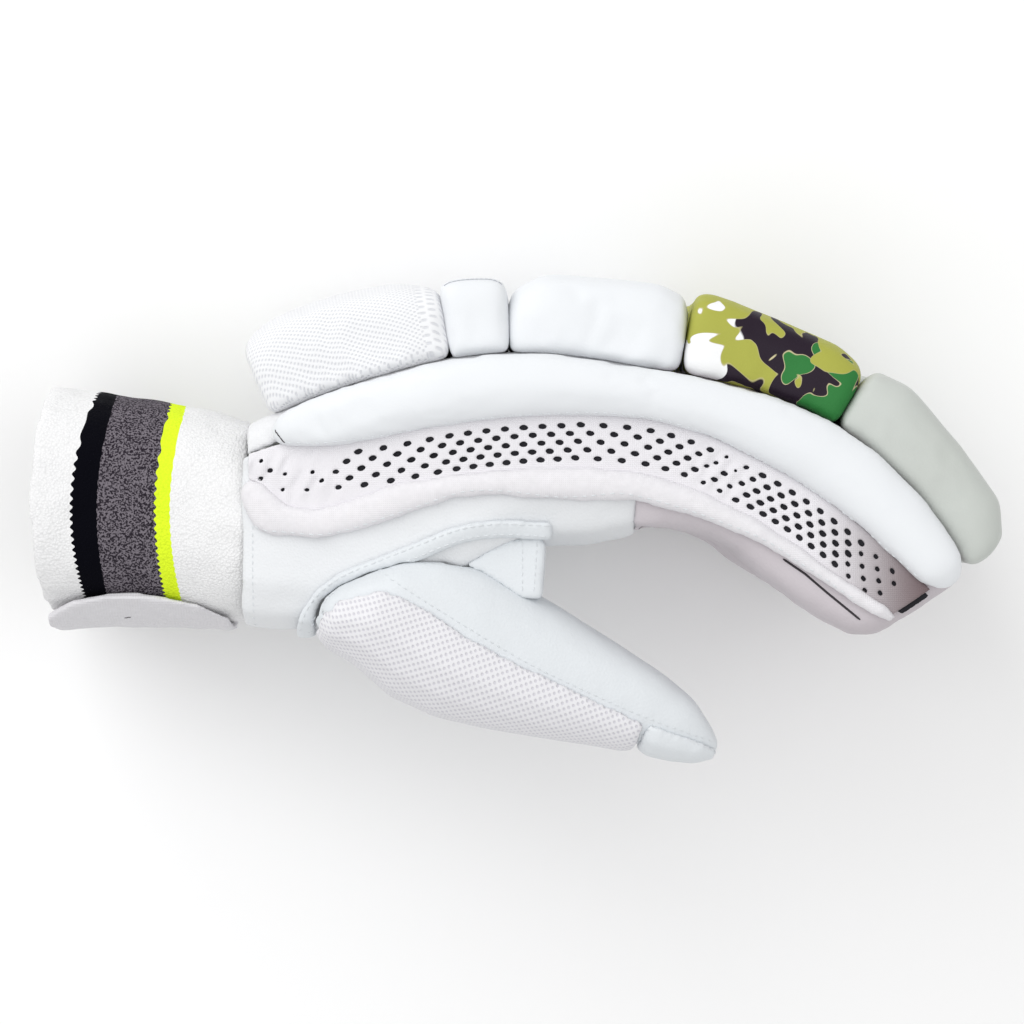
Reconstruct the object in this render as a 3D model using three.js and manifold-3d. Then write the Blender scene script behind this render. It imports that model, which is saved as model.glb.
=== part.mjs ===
// Cricket batting glove for the left hand, in millimetres.
// It lies on its little-finger side: +X from the cuff to the fingertips, +Y to the back of the hand,
// +Z up from the little finger to the index finger and the thumb.
import * as THREE from "three";
import Module from "manifold-3d";

const wasm = await Module();
wasm.setup();
const { Manifold, Mesh } = wasm;

// Main sizes
const reach = 203; // wrist to the index fingertip, along the back of the glove
const handDepth = 50; // back to palm, at the middle of the hand
const fingerPitch = 23;
const fingers = ["little", "ring", "middle", "index"];
const webAt = 0.522 * reach; // along the back, where the finger stalls begin
const handStart = -3; // along the back, where the hand joins the cuff
const wristLean = 45; // length over which cross-sections turn upright towards the wrist
const palmRound = 12; // corner radius of the hand on the palm side
const backRound = 6; // and on the back

// Walls and clearances
const leather = 1.8;
const towelling = 2.6;
const liningThick = 0.8;
const meshThick = 1.2;
const seat = 0.3; // between a piece and what it is sewn on or lies beside
const degree = Math.PI / 180;

// Padding heights
const sidePad = 7;
const borderPad = 3.6;
const thumbPadThick = 3.4;
const weltThick = 2.2;
const weltWide = 4.3;

// Centre line of the back in side view: share of the reach, and the turn over it in degrees
const backStart = { x: -65.9, y: 23.6, heading: 23.9 };
const backArcs = [
  { length: 0.2235, turn: -10.3 },
  { length: 0.2235, turn: -24.0 },
  { length: 0.0851, turn: 2.0 },
  { length: 0.1404, turn: -9.7 },
  { length: 0.2433, turn: -35.3 },
  { length: 0.0842, turn: -2.9 },
];

// Lower edges of the bands on the index side, and of the palm, as shares of the hand's depth
const sideBands = [
  { at: -0.02, bolster: 0.17, mesh: 0.24, border: 0.44, palm: 1.03 },
  { at: 0.0, bolster: 0.18, mesh: 0.3, border: 0.57, palm: 1.07 },
  { at: 0.04, bolster: 0.2, mesh: 0.5, border: 0.66, palm: 1.14 },
  { at: 0.08, bolster: 0.26, mesh: 0.58, border: 0.73, palm: 1.19 },
  { at: 0.15, bolster: 0.32, mesh: 0.56, border: 0.73, palm: 1.17 },
  { at: 0.24, bolster: 0.35, mesh: 0.6, border: 0.71, palm: 1.1 },
  { at: 0.32, bolster: 0.352, mesh: 0.604, border: 0.735, palm: 1.03 },
  { at: 0.4, bolster: 0.33, mesh: 0.59, border: 0.757, palm: 0.99 },
  { at: 0.45, bolster: 0.3, mesh: 0.565, border: 0.74, palm: 0.965 },
  { at: 0.5, bolster: 0.278, mesh: 0.545, border: 0.685, palm: 0.915 },
  { at: 0.54, bolster: 0.28, mesh: 0.54, border: 0.69, palm: 0.81 },
  { at: 0.61, bolster: 0.31, mesh: 0.575, border: 0.71, palm: 0.79 },
  { at: 0.68, bolster: 0.355, mesh: 0.615, border: 0.725, palm: 0.8 },
  { at: 0.77, bolster: 0.374, mesh: 0.634, border: 0.72, palm: 0.855 },
  { at: 0.85, bolster: 0.362, mesh: 0.622, border: 0.705, palm: 0.85 },
  { at: 0.93, bolster: 0.32, mesh: 0.575, border: 0.645, palm: 0.81 },
  { at: 0.98, bolster: 0.275, mesh: 0.485, border: 0.57, palm: 0.73 },
  { at: 1.02, bolster: 0.245, mesh: 0.42, border: 0.51, palm: 0.66 },
];

// Sides of the hand across its width, as shares of the width over four fingers
const handWidth = fingerPitch * fingers.length;
const handSides = [
  { at: -0.02, low: 0.055, high: 0.88 },
  { at: 0.06, low: 0.045, high: 0.91 },
  { at: 0.15, low: 0.015, high: 0.97 },
  { at: 0.24, low: 0, high: 1 },
  { at: 1.1, low: 0, high: 1 },
];

// Padding on the back: where each piece lies, as shares of the reach, how far its ends are drawn
// in, its corner radius, and its height along its length as shares of the roll height
const rollHeight = 21.8;
const padding = {
  back_pad: {
    from: 0.018,
    to: 0.259,
    drawn: [1.6, 0.4],
    round: 7,
    tops: [
      { at: 0, height: 0.92 },
      { at: 0.12, height: 1.03 },
      { at: 0.7, height: 1.0 },
      { at: 0.88, height: 0.95 },
      { at: 1, height: 0.86 },
    ],
  },
  knuckle_block: {
    from: 0.262,
    to: 0.3325,
    drawn: [1.4, 0.3],
    round: 4,
    tops: [
      { at: 0, height: 0.91 },
      { at: 1, height: 0.86 },
    ],
  },
  finger_roll: {
    from: 0.336,
    to: 0.55,
    drawn: [5.5, 1.8],
    round: 8,
    tops: [
      { at: 0, height: 0.8 },
      { at: 0.2, height: 0.92 },
      { at: 0.6, height: 0.95 },
      { at: 0.9, height: 0.99 },
      { at: 1, height: 0.95 },
    ],
  },
  camo_roll: {
    from: 0.5565,
    to: 0.7605,
    drawn: [2.8, 0.6],
    round: 7,
    tops: [
      { at: 0, height: 1.02 },
      { at: 0.4, height: 0.87 },
      { at: 0.75, height: 0.85 },
      { at: 1, height: 0.76 },
    ],
  },
  tip_roll: {
    from: 0.7645,
    to: 1.013,
    drawn: [4.2, 1.2],
    round: 7,
    tops: [
      { at: 0, height: 0.84 },
      { at: 0.14, height: 0.87 },
      { at: 0.45, height: 0.77 },
      { at: 0.75, height: 0.77 },
      { at: 0.93, height: 0.67 },
      { at: 1, height: 0.5 },
    ],
  },
};
const padRows = [0.18, 0.5, 0.82]; // cross-sections between the ends, as shares of a piece's length
const padEnd = 1.5; // length over which an end is drawn in
const fingerReach = { little: 0.86, ring: 0.97, middle: 1.0, index: 1.0 };
const rollSide = 0.35; // each side of a roll stands in from its finger by this

// Finger stalls: corner radii, where the tip closes as a share of the reach, and how far it is drawn in
const stallRound = { palm: 6, back: 4 };
const stallEnd = 1.02;
const tipDrawn = 4;
const tipLength = 5;

// Wrist cuff: top and bottom in side view, and sides across the width
const cuffStations = [
  { x: -122.6, top: 33.9, bottom: -27.2, low: 0.045, high: 0.83 },
  { x: -107, top: 31.7, bottom: -27.4, low: 0.06, high: 0.82 },
  { x: -92, top: 29.4, bottom: -28.2, low: 0.07, high: 0.82 },
  { x: -80, top: 27.2, bottom: -29.0, low: 0.06, high: 0.84 },
  { x: -69, top: 23.6, bottom: -29.6, low: 0.05, high: 0.87 },
];
const cuffBow = 3.4; // the mouth stands out by this at mid height

// Wrist strap: a tab with a rounded end, wrapped round the underside of the cuff
const strapSpan = { from: -122, to: -73 };
const strapThick = 2.4;
const strapSlack = 2.2; // the tab stands off by this at its free end
const strapTurns = { back: 205, front: 294, tip: 24 };

// Thumb: line of its axis in side view, and its section along the axis
const thumbLength = 96.5;
const thumbAxis = { x: -35.1, y: -25.9, heading: -22.4, z: 83, tipZ: 84 };
const thumbHalf = 20;
const thumbSections = [
  { at: -0.145, top: -0.08, bottom: -0.42, half: 0.6 },
  { at: -0.12, top: 0.16, bottom: -0.5, half: 0.88 },
  { at: -0.06, top: 0.5, bottom: -0.5, half: 1.02 },
  { at: 0.02, top: 0.88, bottom: -0.56, half: 1.06 },
  { at: 0.12, top: 1.14, bottom: -0.74, half: 1 },
  { at: 0.23, top: 1.13, bottom: -0.77, half: 0.96 },
  { at: 0.36, top: 1.02, bottom: -0.68, half: 0.88 },
  { at: 0.5, top: 0.91, bottom: -0.54, half: 0.8 },
  { at: 0.64, top: 0.79, bottom: -0.41, half: 0.71 },
  { at: 0.78, top: 0.66, bottom: -0.29, half: 0.6 },
  { at: 0.88, top: 0.5, bottom: -0.18, half: 0.46 },
  { at: 0.95, top: 0.27, bottom: -0.09, half: 0.3 },
  { at: 0.99, top: 0.08, bottom: -0.02, half: 0.12 },
];
// Thumb padding: its upper edge as an angle round the thumb, and its height as a share of the full one
const thumbPadding = [
  { at: -0.125, edge: 88, height: 0.7 },
  { at: -0.06, edge: 78, height: 0.9 },
  { at: -0.016, edge: 79, height: 1 },
  { at: 0.12, edge: 87, height: 1 },
  { at: 0.42, edge: 94, height: 1 },
  { at: 0.56, edge: 98, height: 0.9 },
  { at: 0.77, edge: 107, height: 0.6 },
  { at: 0.88, edge: 107, height: 0.75 },
  { at: 0.99, edge: 94, height: 0.6 },
];
const thumbPadUnder = 240; // its lower edge, as an angle round the thumb
const thumbPadSpan = [-0.125, -0.09, 0.0, 0.12, 0.25, 0.38, 0.52, 0.66, 0.76, 0.775];
const thumbCapSpan = [0.785, 0.82, 0.88, 0.94, 0.985];

// A column of a table at a position, on a smooth curve through its rows
function column(table, key, at, by = "at") {
  let i = 0;
  while (i < table.length - 2 && table[i + 1][by] < at) i++;
  const [a, b] = [table[i], table[i + 1]];
  const before = table[Math.max(i - 1, 0)];
  const after = table[Math.min(i + 2, table.length - 1)];
  const span = b[by] - a[by];
  const f = Math.min(Math.max((at - a[by]) / span, 0), 1);
  const slope = (p, q) => (p === q ? 0 : ((q[key] - p[key]) / (q[by] - p[by])) * span);
  const [m, n] = [slope(before, b), slope(a, after)];
  const [f2, f3] = [f * f, f * f * f];
  return (
    (2 * f3 - 3 * f2 + 1) * a[key] + (f3 - 2 * f2 + f) * m + (3 * f2 - 2 * f3) * b[key] + (f3 - f2) * n
  );
}

// Point and heading of the back's centre line
function backLine(s) {
  let { x, y } = backStart;
  let heading = backStart.heading * degree;
  let left = s;
  for (const arc of backArcs) {
    const length = arc.length * reach;
    const step = Math.min(left, length);
    const turn = (arc.turn * degree * Math.max(step, 0)) / length;
    const chord = Math.abs(turn) > 1e-9 ? (2 * step * Math.sin(turn / 2)) / turn : step;
    x += chord * Math.cos(heading + turn / 2);
    y += chord * Math.sin(heading + turn / 2);
    heading += turn;
    left -= step;
    if (left <= 0) return { x, y, heading };
  }
  return { x: x + left * Math.cos(heading), y: y + left * Math.sin(heading), heading };
}

// A place on the hand: along the back, out from the back, and across the width
function place(s, out, across) {
  const line = backLine(s);
  const f = Math.min(Math.max(s / wristLean, 0), 1);
  const lean = out < 0 ? f * f * (3 - 2 * f) : 1;
  const angle = line.heading * lean;
  return [line.x - out * Math.sin(angle), line.y + out * Math.cos(angle), across];
}

// A place on the thumb: along its axis, up from it, and across
function thumbPlace(t, up, across) {
  const angle = thumbAxis.heading * degree;
  const z = thumbAxis.z + ((thumbAxis.tipZ - thumbAxis.z) * t) / thumbLength;
  return [
    thumbAxis.x + t * Math.cos(angle) - up * Math.sin(angle),
    thumbAxis.y + t * Math.sin(angle) + up * Math.cos(angle),
    z + across,
  ];
}

// A closed solid through rings of points, with a flat fan at each end
function loft(rings) {
  const count = rings[0].length;
  const points = rings.flat();
  const middle = (ring) => [0, 1, 2].map((k) => ring.reduce((sum, p) => sum + p[k], 0) / count);
  const first = points.length;
  points.push(middle(rings[0]), middle(rings[rings.length - 1]));
  const faces = [];
  for (let i = 0; i < rings.length - 1; i++)
    for (let j = 0; j < count; j++) {
      const [a, b] = [i * count + j, i * count + ((j + 1) % count)];
      faces.push([a, b, b + count], [a, b + count, a + count]);
    }
  const last = (rings.length - 1) * count;
  for (let j = 0; j < count; j++) {
    const k = (j + 1) % count;
    faces.push([first, k, j], [first + 1, last + j, last + k]);
  }
  const volume = faces.reduce((sum, [a, b, c]) => {
    const [p, q, r] = [points[a], points[b], points[c]];
    return (
      sum +
      p[0] * (q[1] * r[2] - q[2] * r[1]) +
      p[1] * (q[2] * r[0] - q[0] * r[2]) +
      p[2] * (q[0] * r[1] - q[1] * r[0])
    );
  }, 0);
  const turned = volume < 0 ? faces.map(([a, b, c]) => [a, c, b]) : faces;
  return new Manifold(
    new Mesh({
      numProp: 3,
      vertProperties: new Float32Array(points.flat()),
      triVerts: new Uint32Array(turned.flat()),
    }),
  );
}

// A rectangle with rounded corners, in (out, across); its lower corners may be square
function roundedSection(low, high, near, far, lowRadius, highRadius, steps) {
  const most = Math.min(high - low, far - near) / 2 - 0.05;
  const corners = [
    [high, far, highRadius, 1],
    [high, near, highRadius, 4],
    [low, near, lowRadius, 3],
    [low, far, lowRadius, 2],
  ];
  return corners.flatMap(([out, across, wanted, quarter]) => {
    if (wanted === 0) return [[out, across]];
    const radius = Math.max(Math.min(wanted, most), 0.05);
    const middle = [
      out === high ? high - radius : low + radius,
      across === far ? far - radius : near + radius,
    ];
    return Array.from({ length: steps + 1 }, (_, i) => {
      const angle = (quarter - i / steps) * 90 * degree;
      return [middle[0] + radius * Math.cos(angle), middle[1] + radius * Math.sin(angle)];
    });
  });
}

// A band that bulges out from a flat side between two depths
const sewnEdge = 0.3; // a band's height at its sewn edges, as a share of the height at its crown
function bandSection(top, bottom, base, height, steps) {
  const half = (top - bottom) / 2;
  const points = [[bottom, base]];
  for (let i = 0; i <= steps; i++) {
    const angle = Math.PI * (1 - i / steps);
    const rise = sewnEdge + (1 - sewnEdge) * Math.pow(Math.sin(angle), 0.7);
    points.push([bottom + half * (1 + Math.cos(angle)), base + height * rise]);
  }
  points.push([top, base]);
  return points;
}

const stations = (from, to, count) =>
  Array.from({ length: count + 1 }, (_, i) => from + ((to - from) * i) / count);
const bandEdge = (name, s) => -column(sideBands, name, s / reach) * handDepth;
const handLow = (s) => sidePad + column(handSides, "low", s / reach) * handWidth;
const handHigh = (s) => sidePad + column(handSides, "high", s / reach) * handWidth;
const along = (list, section) =>
  loft(list.map((s) => section(s).map(([out, across]) => place(s, out, across))));

// Hand: one hollow shell from the cuff to the finger stalls
const handStations = stations(handStart, webAt, 13);
const cut = 2; // a hollow passes the end of its wall by this
const pastHand = [handStart - cut, ...handStations, webAt + cut];
function handSolid(grow, list = handStations) {
  return along(list, (s) =>
    roundedSection(
      bandEdge("palm", s) - grow,
      grow,
      handLow(s) - grow,
      handHigh(s) + grow,
      palmRound + grow,
      backRound + grow,
      grow < 0 ? 1 : 2,
    ),
  );
}
const handOuter = handSolid(0);
const handInner = handSolid(-leather, pastHand);
const handShell = handOuter.subtract(handInner);
const backEdge = 0.16 * handDepth;
const handBlock = (low, high) =>
  along(pastHand, () => [
    [low, -sidePad],
    [high, -sidePad],
    [high, handWidth + 3 * sidePad],
    [low, handWidth + 3 * sidePad],
  ]);

// Thumb: a hollow stall that opens into the hand
const thumbFacets = 16;
const squarer = (v, power) => Math.sign(v) * Math.pow(Math.abs(v), power);
function thumbPoint(at, grow, angle) {
  const top = column(thumbSections, "top", at) * thumbHalf + grow;
  const bottom = column(thumbSections, "bottom", at) * thumbHalf - grow;
  const half = column(thumbSections, "half", at) * thumbHalf + grow;
  const up = (top + bottom) / 2 + ((top - bottom) / 2) * squarer(Math.cos(angle * degree), 0.8);
  return thumbPlace(at * thumbLength, up, half * squarer(Math.sin(angle * degree), 0.8));
}
function thumbSolid(grow) {
  const rows = thumbSections.map((row) => row.at);
  const ends = [rows[0] - Math.max(grow, 0) / thumbLength, rows[rows.length - 1] + grow / thumbLength];
  const ats = [ends[0], ...rows.slice(1, -1), ends[1]];
  const turns = stations(0, 360, thumbFacets).slice(0, -1);
  return loft(ats.map((at) => turns.map((angle) => thumbPoint(at, grow, angle))));
}
const thumbOuter = thumbSolid(0);
const thumbInner = thumbSolid(-leather);
const handGrown = handSolid(seat, [handStart - sidePad, ...handStations, webAt + cut]);
const largest = (solid) => solid.decompose().sort((a, b) => b.volume() - a.volume())[0];
const thumbStall = largest(thumbOuter.subtract(thumbInner).subtract(handGrown));

// A padded patch on the thumb, from its table's edge round to its lower edge
const patchEdge = 0.35; // a patch's height at its sewn edges, as a share of the height at its crown
function thumbPatch(ats, steps) {
  return loft(
    ats.map((at, i) => {
      const end = i === 0 || i === ats.length - 1 ? patchEdge : 1;
      const height = thumbPadThick * column(thumbPadding, "height", at) * end;
      const angles = stations(column(thumbPadding, "edge", at), thumbPadUnder, steps);
      const under = angles.map((angle) => thumbPoint(at, -seat, angle));
      const over = angles.map((angle, j) => {
        const swell = patchEdge + (1 - patchEdge) * Math.sqrt(Math.sin((Math.PI * j) / steps));
        return thumbPoint(at, seat + height * swell, angle);
      });
      return [...under, ...over.reverse()];
    }),
  );
}

// Web between the thumb and the palm: a leather fold open towards the thumb's root. Its plan is
// along the back, as a share of the reach, and below it, as a share of the hand's depth.
const webPlan = [
  { at: 0.134, deep: 1.026 },
  { at: 0.208, deep: 0.93 },
  { at: 0.28, deep: 0.915 },
  { at: 0.387, deep: 0.91 },
  { at: 0.405, deep: 1.0 },
  { at: 0.411, deep: 1.26 },
  { at: 0.129, deep: 1.164 },
].map(({ at, deep }) => place(at * reach, -deep * handDepth, 0));
const webSpan = { from: 70, to: sidePad + handWidth - 3.5 };
const webOpen = 9; // the fold is cut open towards the thumb by this
function webBlock(grow) {
  const plan = webPlan.map((point, i) => {
    const before = webPlan[(i + webPlan.length - 1) % webPlan.length];
    const after = webPlan[(i + 1) % webPlan.length];
    const side = (p, q) => {
      const length = Math.hypot(q[0] - p[0], q[1] - p[1]);
      return [-(q[1] - p[1]) / length, (q[0] - p[0]) / length];
    };
    const [n, m] = [side(before, point), side(point, after)];
    const scale = grow / (1 + n[0] * m[0] + n[1] * m[1]);
    return [point[0] + (n[0] + m[0]) * scale, point[1] + (n[1] + m[1]) * scale];
  });
  return loft([webSpan.from - grow, webSpan.to + grow].map((z) => plan.map(([x, y]) => [x, y, z])));
}
const webInner = webBlock(-leather);
const webHollow = Manifold.hull([webInner, webInner.translate([-webOpen, -webOpen, 0])]);

// Welt round the thumb's root: the middle of its path over the palm, in the web's shares
const weltPath = [
  { at: 0.045, deep: 1.3 },
  { at: 0.05, deep: 1.17 },
  { at: 0.055, deep: 1.094 },
  { at: 0.069, deep: 1.014 },
  { at: 0.09, deep: 0.965 },
  { at: 0.123, deep: 0.945 },
  { at: 0.165, deep: 0.925 },
  { at: 0.208, deep: 0.9 },
  { at: 0.259, deep: 0.9 },
  { at: 0.324, deep: 0.91 },
  { at: 0.416, deep: 0.915 },
].map(({ at, deep }) => place(at * reach, -deep * handDepth, 0));
const weltSpan = { from: 58, to: sidePad + handWidth + 3 * weltThick };
function weltStrip(half) {
  return loft(
    weltPath.map(([x, y], i) => {
      const before = weltPath[Math.max(i - 1, 0)];
      const after = weltPath[Math.min(i + 1, weltPath.length - 1)];
      const length = Math.hypot(after[0] - before[0], after[1] - before[1]);
      const [dx, dy] = [((before[1] - after[1]) * half) / length, ((after[0] - before[0]) * half) / length];
      return [
        [x + dx, y + dy, weltSpan.from],
        [x + dx, y + dy, weltSpan.to],
        [x - dx, y - dy, weltSpan.to],
        [x - dx, y - dy, weltSpan.from],
      ];
    }),
  );
}

// Cuff: a knitted tube
function cuffRing(row, grow, turns) {
  const low = sidePad + row.low * handWidth;
  const high = sidePad + row.high * handWidth;
  return turns.map((angle) => {
    const s = Math.sin(angle * degree);
    const y = (row.top + row.bottom) / 2 + ((row.top - row.bottom) / 2 + grow) * squarer(s, 0.78);
    const z = (low + high) / 2 + ((high - low) / 2 + grow) * squarer(Math.cos(angle * degree), 0.78);
    const mouth = cuffStations[0].x;
    const bow = cuffBow * Math.max(1 - (row.x - mouth) / (cuffStations[4].x - mouth), 0) * (1 - s * s);
    return [row.x - bow, y, z];
  });
}
const cuffFacets = 24;
const cuffTurns = stations(0, 360, cuffFacets).slice(0, -1);
const cuffRow = (x) => ({
  x,
  top: column(cuffStations, "top", x, "x"),
  bottom: column(cuffStations, "bottom", x, "x"),
  low: column(cuffStations, "low", x, "x"),
  high: column(cuffStations, "high", x, "x"),
});
function cuffSolid(grow, ends) {
  const xs = stations(cuffStations[0].x, cuffStations[4].x, 4);
  const rows = xs.map(cuffRow);
  rows[0].x -= ends;
  rows[4].x += ends;
  return loft(rows.map((row) => cuffRing(row, grow, cuffTurns)));
}

// A padded piece on the back: flat underneath, rounded above, drawn in at both ends
function padBlock({ from, to, drawn, round, tops }, lowSide, highSide, finger = "index") {
  const stretch = (s) => (s <= webAt ? s : webAt + (s - webAt) * fingerReach[finger]);
  const [first, last] = [stretch(from * reach), stretch(to * reach)];
  const rows = [
    { s: first, inset: drawn[0] },
    { s: first + padEnd, inset: drawn[1] },
    ...padRows.map((f) => ({ s: first + (last - first) * f, inset: 0 })),
    { s: last - padEnd, inset: drawn[1] },
    { s: last, inset: drawn[0] },
  ];
  return loft(
    rows.map(({ s, inset }) => {
      const top = column(tops, "height", (s - first) / (last - first)) * rollHeight - inset;
      const [low, high] = [lowSide(s) + inset / 2, highSide(s) - inset / 2];
      const section = roundedSection(seat, top, low, high, 0, round, 2);
      return section.map(([out, across]) => place(s, out, across));
    }),
  );
}

// A finger stall: a hollow tube with a closed, rounded tip
function stall(index) {
  const name = fingers[index];
  const stretch = (s) => webAt + (s - webAt) * fingerReach[name];
  const near = sidePad + index * fingerPitch + (index === 0 ? 0 : seat);
  const far = sidePad + (index + 1) * fingerPitch - (index === 3 ? 0 : seat);
  const tube = (wall, list) =>
    loft(
      list.map(({ s, drawn }) => {
        const d = wall + drawn;
        const [low, high] = [bandEdge("palm", s) + d, -d];
        const [palmCorner, backCorner] = [stallRound.palm - wall, stallRound.back - wall];
        const steps = wall > 0 ? 1 : 2;
        const section = roundedSection(low, high, near + d, far - d, palmCorner, backCorner, steps);
        return section.map(([out, across]) => place(stretch(s), out, across));
      }),
    );
  const tip = stallEnd * reach;
  const straight = (from, count) =>
    stations(from, tip - tipLength, count).map((s) => ({ s, drawn: 0 }));
  const outer = [
    ...straight(webAt + seat, 8),
    { s: tip - 0.4 * tipLength, drawn: 0.3 * tipDrawn },
    { s: tip, drawn: tipDrawn },
  ];
  const inner = [...straight(webAt - cut, 7), { s: tip - 1.3 * leather, drawn: 0.6 * tipDrawn }];
  return tube(0, outer).subtract(tube(leather, inner));
}

// Bands along the index side, with rounded ends; each starts at its own row of the same list
const bandRows = [-0.022, -0.01, 0.002, 0.02, 0.03, 0.045, 0.07, 0.11, 0.99, 1.013];
bandRows.splice(-2, 0, ...stations(0.153, 0.966, 11));
const bandStations = bandRows.map((at) => at * reach);
const borderStations = bandStations;
const meshStations = bandStations.slice(1);
const bolsterStations = bandStations.slice(3);
const bandRound = 7; // length over which an end narrows
function indexBand(topEdge, bottomEdge, height, steps, list) {
  return along(list, (s) => {
    const end = Math.min(s - list[0], list[list.length - 1] - s);
    const short = 1 - Math.min(end / bandRound, 1);
    const full = Math.sqrt(1 - 0.8 * short * short);
    const middle = (topEdge(s) + bottomEdge(s)) / 2;
    const half = ((topEdge(s) - bottomEdge(s)) / 2) * full;
    return bandSection(middle + half, middle - half, handHigh(s) + seat, height * full, steps);
  });
}
const sheetBand = (topEdge, bottomEdge, base, thick, list) =>
  along(list, (s) => {
    const z = handHigh(s) + seat + base;
    return [
      [bottomEdge(s), z],
      [bottomEdge(s), z + thick],
      [topEdge(s), z + thick],
      [topEdge(s), z],
    ];
  });
const meshTop = (s) => bandEdge("bolster", s) - seat;
const meshBottom = (s) => bandEdge("mesh", s) + seat;

// Holes of the mesh: staggered rows that follow its upper edge
const holeRows = 5;
const holePitch = 5.85;
const holeRowPitch = 2.15;
const hole = { long: 2.5, high: 1.45 };
const holeMargin = 2; // from the mesh's upper edge to the first row
const holeClear = 0.02; // a punch passes the lower face by this, short of the lining
const holeSpan = { from: 0.167 * reach, to: 0.838 * reach };
const holes = [];
for (let row = 0; row < holeRows; row++)
  for (let s = holeSpan.from + (row % 2 ? holePitch / 2 : 0); s < holeSpan.to; s += holePitch) {
    const out = meshTop(s) - holeMargin - row * holeRowPitch;
    const z = handHigh(s) + seat + liningThick + seat / 2;
    const ring = (height) =>
      [0, 1, 2, 3].map((quarter) => {
        const angle = quarter * 90 * degree;
        const long = (hole.long / 2) * Math.cos(angle);
        const high = (hole.high / 2) * Math.sin(angle);
        return place(s + long, out + high, height);
      });
    holes.push(loft([ring(z - holeClear), ring(z + meshThick + cut)]));
  }

// Padded band on the little-finger side, flat where the glove rests
const littleEnd = webAt + (0.985 * reach - webAt) * fingerReach.little;
const littleStations = stations(0.04 * reach, littleEnd, 12);
const littleDepth = { top: 1.5, bottom: 0.62 * handDepth, drawn: 2.2, round: 3 };
const littleBolster = along(littleStations, (s) => {
  const end = s === littleStations[0] || s === littleStations[littleStations.length - 1];
  const inset = end ? littleDepth.drawn : 0;
  const [low, high] = [inset - littleDepth.bottom, -littleDepth.top - inset];
  return roundedSection(low, high, 0, handLow(s) - seat, littleDepth.round, littleDepth.round, 2);
});

// Colours
const white = { color: "#f1f3f5", roughness: 0.75 };
const pieces = {};
const add = (name, solid, material) => {
  pieces[name] = { solid, material: { metalness: 0, ...material } };
};
const shellWithoutThumb = handShell.subtract(thumbInner);
add("wrist_cuff", cuffSolid(0, 0).subtract(cuffSolid(-towelling, 2)), { color: "#f4f4f4", roughness: 1 });
add("palm", shellWithoutThumb.intersect(handBlock(-2 * handDepth, -backEdge - seat)), {
  color: "#e9ecee",
  roughness: 0.6,
});
add("back_panel", handShell.intersect(handBlock(-backEdge, handDepth)), {
  color: "#f3f4f6",
  roughness: 0.85,
});
const padSides = { low: 1.5, high: 0.6 }; // the back pad stands in from the hand's sides by these
add(
  "back_pad",
  padBlock(padding.back_pad, (s) => handLow(s) + padSides.low, (s) => handHigh(s) - padSides.high),
  { color: "#eef0f3", roughness: 0.9 },
);
fingers.forEach((name, i) => {
  const low = () => sidePad + i * fingerPitch + rollSide;
  const high = () => sidePad + (i + 1) * fingerPitch - rollSide;
  const roll = (piece) => padBlock(padding[piece], low, high, name);
  add(name + "_stall", stall(i), { color: "#e6e9ea", roughness: 0.7 });
  add("knuckle_block_" + name, roll("knuckle_block"), white);
  add("finger_roll_" + name, roll("finger_roll"), white);
  add("camo_roll_" + name, roll("camo_roll"), { color: "#6f7434", roughness: 0.55 });
  add("tip_roll_" + name, roll("tip_roll"), { color: "#dfe6e2", roughness: 0.75 });
});
const bolsterEdge = (s) => bandEdge("bolster", s);
const borderTop = (s) => bandEdge("mesh", s);
const borderEdge = (s) => bandEdge("border", s);
const meshBase = liningThick + seat / 2;
const meshBand = sheetBand(meshTop, meshBottom, meshBase, meshThick, meshStations);
add("side_bolster", indexBand(() => -seat, bolsterEdge, sidePad, 6, bolsterStations), white);
add("gusset_lining", sheetBand(meshTop, meshBottom, 0, liningThick, meshStations), {
  color: "#17171c",
  roughness: 0.9,
});
add("gusset_mesh", meshBand.subtract(Manifold.union(holes)), { color: "#eceef1", roughness: 0.8 });
add("gusset_border", indexBand(borderTop, borderEdge, borderPad, 5, borderStations), {
  color: "#f2f1f4",
  roughness: 0.85,
});
add("little_side_bolster", littleBolster, white);
add("thumb_stall", thumbStall, { color: "#e2e8ec", roughness: 0.6 });
const thumbGrown = thumbSolid(seat);
const weltOuter = handSolid(seat + weltThick);
const clearOfWelt = handSolid(seat + weltThick + seat, [handStart - sidePad, ...handStations, webAt + cut]);
const weltBand = weltStrip(weltWide / 2).intersect(weltOuter.subtract(handGrown));
add("thumb_pad", largest(thumbPatch(thumbPadSpan, 7).subtract(thumbGrown).subtract(clearOfWelt)), {
  color: "#e8e9ee",
  roughness: 0.85,
});
add("thumb_tip_cap", largest(thumbPatch(thumbCapSpan, 6).subtract(thumbGrown)), {
  color: "#e9edef",
  roughness: 0.65,
});
add("thumb_welt", largest(weltBand.subtract(thumbGrown).subtract(webBlock(seat))), {
  color: "#dfe6ea",
  roughness: 0.6,
});
add("thumb_web", largest(webBlock(0).subtract(webHollow).subtract(handGrown).subtract(thumbGrown)), {
  color: "#e2e8ec",
  roughness: 0.6,
});

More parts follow.
